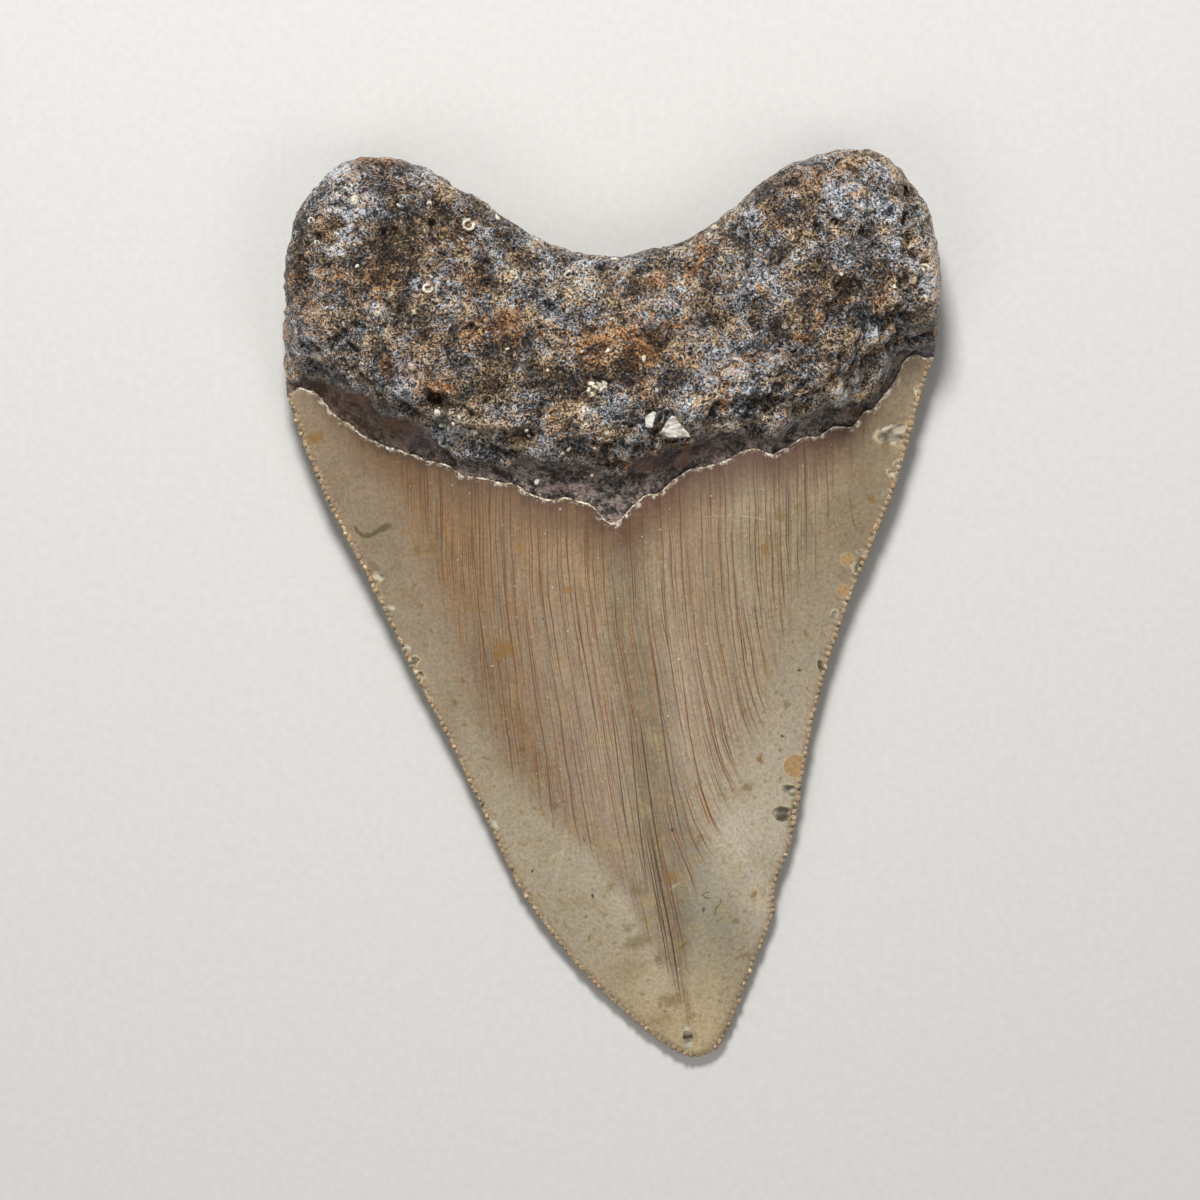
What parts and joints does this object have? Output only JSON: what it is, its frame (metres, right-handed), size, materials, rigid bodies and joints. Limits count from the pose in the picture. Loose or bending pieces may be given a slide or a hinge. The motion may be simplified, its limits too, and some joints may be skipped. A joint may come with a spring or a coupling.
{
  "type": "fossil shark tooth",
  "caption": "Large fossil shark tooth lying flat: broad triangular crown with serrated cutting edges, dark sunken neck and thick two-lobed root.",
  "frame": {"origin": "middle of the tooth's footprint, on the surface that it lies on", "axes": "+Y from the tip of the crown to the root, +Z out of the lingual face, +X to the right seen from above"},
  "size_m": [0.0962, 0.1336, 0.0269],
  "materials": {
    "fossil_tooth": "satin enamel on the crown, rough and granular on the root",
    "shell": "satin"
  },
  "bodies": {
    "root": {"tooth": "fossil_tooth", "shell_chip": "shell", "shell_chip_small": "shell"}
  },
  "joints": []
}
